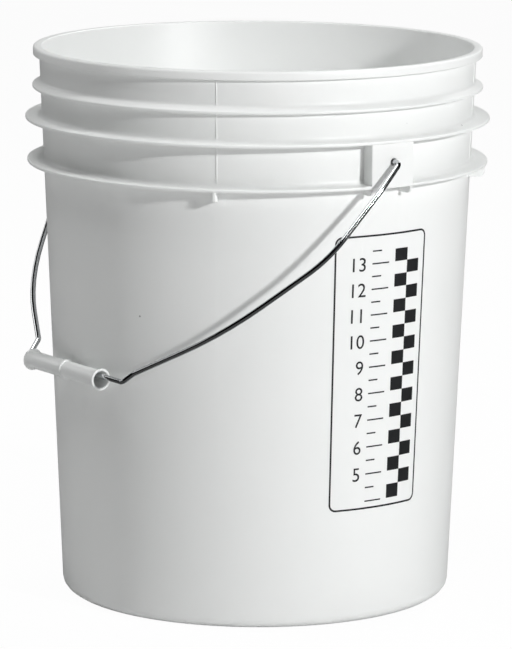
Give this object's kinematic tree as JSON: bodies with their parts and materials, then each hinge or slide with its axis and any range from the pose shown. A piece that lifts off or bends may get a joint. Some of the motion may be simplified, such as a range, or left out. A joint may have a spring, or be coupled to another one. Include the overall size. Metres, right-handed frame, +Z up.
{
  "type": "plastic pail",
  "caption": "Round tapered plastic pail, open at the top, with moulded flanges, a wire bail hinged in two ears and a loose tubular hand grip.",
  "frame": {"origin": "middle of the foot ring, on the surface that the pail stands on", "axes": "+Z up along the pail's axis, +X through one bail ear, -Y towards the side on which the bail hangs"},
  "size_m": [0.328, 0.3094, 0.367],
  "materials": {
    "polyethylene": "injection-moulded white polyethylene, satin",
    "steel_wire": "bright drawn steel wire",
    "grip_plastic": "injection-moulded white plastic, smooth"
  },
  "bodies": {
    "pail": {"pail_body": "polyethylene"},
    "bail": {"bail_wire": "steel_wire"},
    "grip": {"hand_grip": "grip_plastic"}
  },
  "joints": [
    {"name": "bail_swing", "type": "hinge", "parent": "pail", "child": "bail", "pos_m": [0, 0, 0.307], "axis": [-1, 0, 0], "range_deg": [0, 270]},
    {"name": "grip_spin", "type": "hinge", "parent": "bail", "child": "grip", "pos_m": [-0.0109, -0.14389, 0.16055], "axis": [1, 0, 0], "continuous": true}
  ]
}
